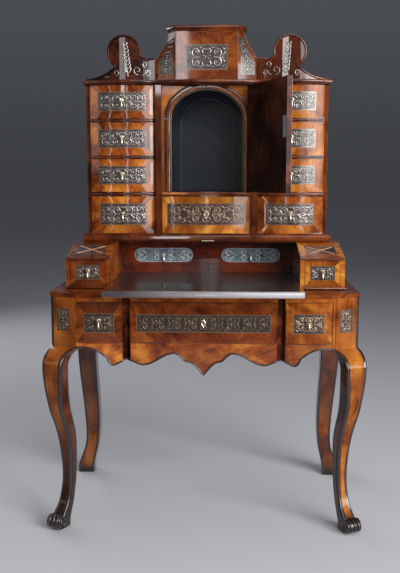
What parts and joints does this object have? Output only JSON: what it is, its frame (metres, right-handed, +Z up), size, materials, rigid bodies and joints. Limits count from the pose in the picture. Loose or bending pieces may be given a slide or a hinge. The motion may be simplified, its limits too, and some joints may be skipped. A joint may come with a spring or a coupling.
{
  "type": "bureau cabinet",
  "caption": "Bureau cabinet on cabriole legs with frieze drawers, a fall flap between tills, and a scroll-topped cabinet of drawers round an arched niche with a door.",
  "frame": {"origin": "on the floor, at the middle of the outline with the flap and the niche door open", "axes": "+Z up, -Y to the front where the writer sits, +X to the writer's right"},
  "size_m": [1.0202, 0.64, 1.6311],
  "materials": {
    "walnut": "polished walnut veneer with inlay",
    "ebony": "ebonised and polished",
    "leather": "dark writing leather",
    "brass": "polished cast brass"
  },
  "bodies": {
    "case": {"arch_frame": "walnut", "back_rail": "walnut", "bank_frame_left": "walnut", "bank_frame_right": "walnut", "cabinet_back": "walnut", "cabinet_base": "ebony", "cabinet_side_left": "walnut", "cabinet_side_right": "walnut", "cabinet_top": "ebony", "crest_cap": "ebony", "crest_case": "walnut", "desk_top": "walnut", "dust_board": "walnut", "front_frame": "walnut", "interior_divider": "walnut", "leg_front_left": "walnut", "leg_front_right": "walnut", "leg_rear_left": "walnut", "leg_rear_right": "walnut", "niche_floor": "walnut", "scroll_left": "walnut", "scroll_right": "walnut", "side_rail_left": "walnut", "side_rail_right": "walnut", "till_case_left": "walnut", "till_case_right": "walnut", "writing_bed": "leather"},
    "drawer_bank_left_1": {"drawer_bank_left_1": "walnut"},
    "drawer_bank_left_2": {"drawer_bank_left_2": "walnut"},
    "drawer_bank_left_3": {"drawer_bank_left_3": "walnut"},
    "drawer_bank_right_1": {"drawer_bank_right_1": "walnut"},
    "drawer_bank_right_2": {"drawer_bank_right_2": "walnut"},
    "drawer_bank_right_3": {"drawer_bank_right_3": "walnut"},
    "drawer_frieze_left": {"drawer_frieze_left": "walnut"},
    "drawer_frieze_middle": {"drawer_frieze_middle": "walnut"},
    "drawer_frieze_right": {"drawer_frieze_right": "walnut"},
    "drawer_interior_left": {"drawer_interior_left": "walnut"},
    "drawer_interior_right": {"drawer_interior_right": "walnut"},
    "drawer_row_left": {"drawer_row_left": "walnut"},
    "drawer_row_middle": {"drawer_row_middle": "walnut"},
    "drawer_row_right": {"drawer_row_right": "walnut"},
    "drawer_till_left": {"drawer_till_left": "walnut"},
    "drawer_till_right": {"drawer_till_right": "walnut"},
    "flap": {"flap": "leather"},
    "niche_door": {"niche_door": "ebony"},
    "pull_bank_left_1": {"pull_bank_left_1": "brass"},
    "pull_bank_left_2": {"pull_bank_left_2": "brass"},
    "pull_bank_left_3": {"pull_bank_left_3": "brass"},
    "pull_bank_right_1": {"pull_bank_right_1": "brass"},
    "pull_bank_right_2": {"pull_bank_right_2": "brass"},
    "pull_bank_right_3": {"pull_bank_right_3": "brass"},
    "pull_frieze_left": {"pull_frieze_left": "brass"},
    "pull_frieze_right": {"pull_frieze_right": "brass"},
    "pull_interior_left": {"pull_interior_left": "brass"},
    "pull_interior_right": {"pull_interior_right": "brass"},
    "pull_row_left": {"pull_row_left": "brass"},
    "pull_row_right": {"pull_row_right": "brass"},
    "pull_till_left": {"pull_till_left": "brass"},
    "pull_till_right": {"pull_till_right": "brass"}
  },
  "joints": [
    {"name": "door_hinge", "type": "hinge", "parent": "case", "child": "niche_door", "pos_m": [0.1539, 0.072, 1.2575], "axis": [0, 0, 1], "range_deg": [-112, 0]},
    {"name": "flap_hinge", "type": "hinge", "parent": "case", "child": "flap", "pos_m": [0, -0.11, 0.786], "axis": [1, 0, 0], "range_deg": [-141, 0]},
    {"name": "bank_left_1_slide", "type": "slide", "parent": "case", "child": "drawer_bank_left_1", "axis": [0, -1, 0], "range_m": [0, 0.14]},
    {"name": "bank_left_2_slide", "type": "slide", "parent": "case", "child": "drawer_bank_left_2", "axis": [0, -1, 0], "range_m": [0, 0.14]},
    {"name": "bank_left_3_slide", "type": "slide", "parent": "case", "child": "drawer_bank_left_3", "axis": [0, -1, 0], "range_m": [0, 0.14]},
    {"name": "bank_right_1_slide", "type": "slide", "parent": "case", "child": "drawer_bank_right_1", "axis": [0, -1, 0], "range_m": [0, 0.05]},
    {"name": "bank_right_2_slide", "type": "slide", "parent": "case", "child": "drawer_bank_right_2", "axis": [0, -1, 0], "range_m": [0, 0.05]},
    {"name": "bank_right_3_slide", "type": "slide", "parent": "case", "child": "drawer_bank_right_3", "axis": [0, -1, 0], "range_m": [0, 0.05]},
    {"name": "frieze_left_slide", "type": "slide", "parent": "case", "child": "drawer_frieze_left", "axis": [0, -1, 0], "range_m": [0, 0.22]},
    {"name": "frieze_middle_slide", "type": "slide", "parent": "case", "child": "drawer_frieze_middle", "axis": [0, -1, 0], "range_m": [0, 0.22]},
    {"name": "frieze_right_slide", "type": "slide", "parent": "case", "child": "drawer_frieze_right", "axis": [0, -1, 0], "range_m": [0, 0.22]},
    {"name": "interior_left_slide", "type": "slide", "parent": "case", "child": "drawer_interior_left", "axis": [0, -1, 0], "range_m": [0, 0.09]},
    {"name": "interior_right_slide", "type": "slide", "parent": "case", "child": "drawer_interior_right", "axis": [0, -1, 0], "range_m": [0, 0.09]},
    {"name": "row_left_slide", "type": "slide", "parent": "case", "child": "drawer_row_left", "axis": [0, -1, 0], "range_m": [0, 0.14]},
    {"name": "row_middle_slide", "type": "slide", "parent": "case", "child": "drawer_row_middle", "axis": [0, -1, 0], "range_m": [0, 0.14]},
    {"name": "row_right_slide", "type": "slide", "parent": "case", "child": "drawer_row_right", "axis": [0, -1, 0], "range_m": [0, 0.14]},
    {"name": "till_left_slide", "type": "slide", "parent": "case", "child": "drawer_till_left", "axis": [0, -1, 0], "range_m": [0, 0.14]},
    {"name": "till_right_slide", "type": "slide", "parent": "case", "child": "drawer_till_right", "axis": [0, -1, 0], "range_m": [0, 0.14]},
    {"name": "bank_left_1_pull", "type": "hinge", "parent": "drawer_bank_left_1", "child": "pull_bank_left_1", "pos_m": [-0.288, 0.05523, 1.1398], "axis": [-1, 0, 0], "range_deg": [0, 80]},
    {"name": "bank_left_2_pull", "type": "hinge", "parent": "drawer_bank_left_2", "child": "pull_bank_left_2", "pos_m": [-0.288, 0.05523, 1.2638], "axis": [-1, 0, 0], "range_deg": [0, 80]},
    {"name": "bank_left_3_pull", "type": "hinge", "parent": "drawer_bank_left_3", "child": "pull_bank_left_3", "pos_m": [-0.288, 0.05523, 1.3878], "axis": [-1, 0, 0], "range_deg": [0, 80]},
    {"name": "bank_right_1_pull", "type": "hinge", "parent": "drawer_bank_right_1", "child": "pull_bank_right_1", "pos_m": [0.288, 0.05523, 1.1398], "axis": [-1, 0, 0], "range_deg": [0, 80]},
    {"name": "bank_right_2_pull", "type": "hinge", "parent": "drawer_bank_right_2", "child": "pull_bank_right_2", "pos_m": [0.288, 0.05523, 1.2638], "axis": [-1, 0, 0], "range_deg": [0, 80]},
    {"name": "bank_right_3_pull", "type": "hinge", "parent": "drawer_bank_right_3", "child": "pull_bank_right_3", "pos_m": [0.288, 0.05523, 1.3878], "axis": [-1, 0, 0], "range_deg": [0, 80]},
    {"name": "frieze_left_pull", "type": "hinge", "parent": "drawer_frieze_left", "child": "pull_frieze_left", "pos_m": [-0.33025, -0.247, 0.6828], "axis": [-1, 0, 0], "range_deg": [0, 80]},
    {"name": "frieze_right_pull", "type": "hinge", "parent": "drawer_frieze_right", "child": "pull_frieze_right", "pos_m": [0.33025, -0.247, 0.6828], "axis": [-1, 0, 0], "range_deg": [0, 80]},
    {"name": "interior_left_pull", "type": "hinge", "parent": "drawer_interior_left", "child": "pull_interior_left", "pos_m": [-0.15675, 0.17, 0.85165], "axis": [-1, 0, 0], "range_deg": [0, 80]},
    {"name": "interior_right_pull", "type": "hinge", "parent": "drawer_interior_right", "child": "pull_interior_right", "pos_m": [0.15675, 0.17, 0.85165], "axis": [-1, 0, 0], "range_deg": [0, 80]},
    {"name": "row_left_pull", "type": "hinge", "parent": "drawer_row_left", "child": "pull_row_left", "pos_m": [-0.288, 0.05523, 1.00505], "axis": [-1, 0, 0], "range_deg": [0, 80]},
    {"name": "row_right_pull", "type": "hinge", "parent": "drawer_row_right", "child": "pull_row_right", "pos_m": [0.288, 0.05523, 1.00505], "axis": [-1, 0, 0], "range_deg": [0, 80]},
    {"name": "till_left_pull", "type": "hinge", "parent": "drawer_till_left", "child": "pull_till_left", "pos_m": [-0.382, -0.13, 0.8261], "axis": [-1, 0, 0], "range_deg": [0, 80]},
    {"name": "till_right_pull", "type": "hinge", "parent": "drawer_till_right", "child": "pull_till_right", "pos_m": [0.382, -0.13, 0.8261], "axis": [-1, 0, 0], "range_deg": [0, 80]}
  ]
}
